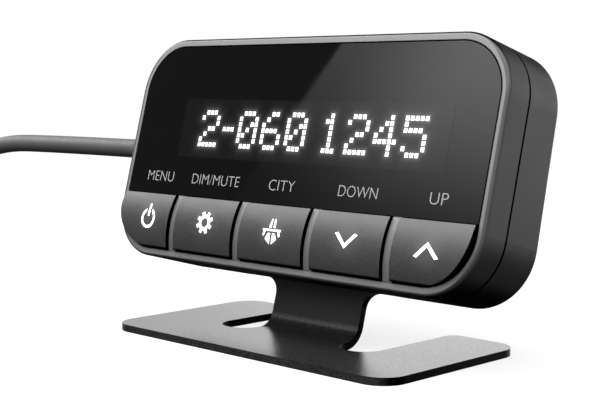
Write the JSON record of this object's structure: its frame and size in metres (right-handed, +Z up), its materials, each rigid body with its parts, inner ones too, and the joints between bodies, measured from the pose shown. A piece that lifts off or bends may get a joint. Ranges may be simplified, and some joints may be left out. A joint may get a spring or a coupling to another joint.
{
  "type": "radar detector display unit",
  "caption": "Display and keypad unit of an in-car radar detector: gloss window over a row of lit push buttons, leaning back on a bent sheet stand, with cable and plug",
  "frame": {"origin": "under the middle of the stand's box, on the surface that it stands on, measured without the cable", "axes": "+X the unit's right as seen from the front of the unit, +Y its back, +Z up; the face looks towards -Y and leans back 14.64 degrees"},
  "size_m": [0.1614, 0.0567, 0.0462],
  "materials": {
    "housing": "fine satin black moulding",
    "window": "gloss black smoked panel",
    "display": "display glass",
    "light_plastic": "natural moulding",
    "flex": "amber film",
    "board": "green solder mask",
    "chip": "black epoxy",
    "soft_black": "satin flexible black",
    "steel": "plated steel",
    "black_screw": "black plated",
    "stand_paint": "fine textured black powder coat",
    "tie": "woven hook and loop",
    "button": "satin dark grey",
    "icon": "translucent white, lit from behind"
  },
  "bodies": {
    "unit": {"front_housing": "housing", "rear_housing": "housing", "display_window": "window", "display_module": "display", "display_holder": "light_plastic", "display_flex": "flex", "main_board": "board", "backlight_lamps": "light_plastic", "controller_chip": "chip", "small_chips": "chip", "buzzer": "chip", "board_header": "light_plastic", "wire_plug": "light_plastic", "cable_boot": "soft_black", "inner_lead": "soft_black", "housing_screws": "steel", "board_screws": "steel", "stand": "stand_paint", "stand_screws": "black_screw", "cable_run": "soft_black", "cable_tail": "soft_black", "cable_coil": "soft_black", "cable_tie": "tie", "plug_body": "soft_black", "plug_shell": "steel", "plug_insert": "chip", "tact_switch_1": "chip", "tact_switch_2": "chip", "tact_switch_3": "chip", "tact_switch_4": "chip", "tact_switch_5": "chip"},
    "button_1": {"button_cap_1": "button", "icon_insert_1": "icon", "switch_stem_1": "light_plastic"},
    "button_2": {"button_cap_2": "button", "icon_insert_2": "icon", "switch_stem_2": "light_plastic"},
    "button_3": {"button_cap_3": "button", "icon_insert_3": "icon", "switch_stem_3": "light_plastic"},
    "button_4": {"button_cap_4": "button", "icon_insert_4": "icon", "switch_stem_4": "light_plastic"},
    "button_5": {"button_cap_5": "button", "icon_insert_5": "icon", "switch_stem_5": "light_plastic"}
  },
  "joints": [
    {"name": "press_1", "type": "slide", "parent": "unit", "child": "button_1", "axis": [0, 0.9675, -0.2527], "range_m": [0, 0.0003], "stiffness_N_per_m": 2000, "springref_m": -0.0003},
    {"name": "press_2", "type": "slide", "parent": "unit", "child": "button_2", "axis": [0, 0.9675, -0.2527], "range_m": [0, 0.0003], "stiffness_N_per_m": 2000, "springref_m": -0.0003},
    {"name": "press_3", "type": "slide", "parent": "unit", "child": "button_3", "axis": [0, 0.9675, -0.2527], "range_m": [0, 0.0003], "stiffness_N_per_m": 2000, "springref_m": -0.0003},
    {"name": "press_4", "type": "slide", "parent": "unit", "child": "button_4", "axis": [0, 0.9675, -0.2527], "range_m": [0, 0.0003], "stiffness_N_per_m": 2000, "springref_m": -0.0003},
    {"name": "press_5", "type": "slide", "parent": "unit", "child": "button_5", "axis": [0, 0.9675, -0.2527], "range_m": [0, 0.0003], "stiffness_N_per_m": 2000, "springref_m": -0.0003}
  ]
}
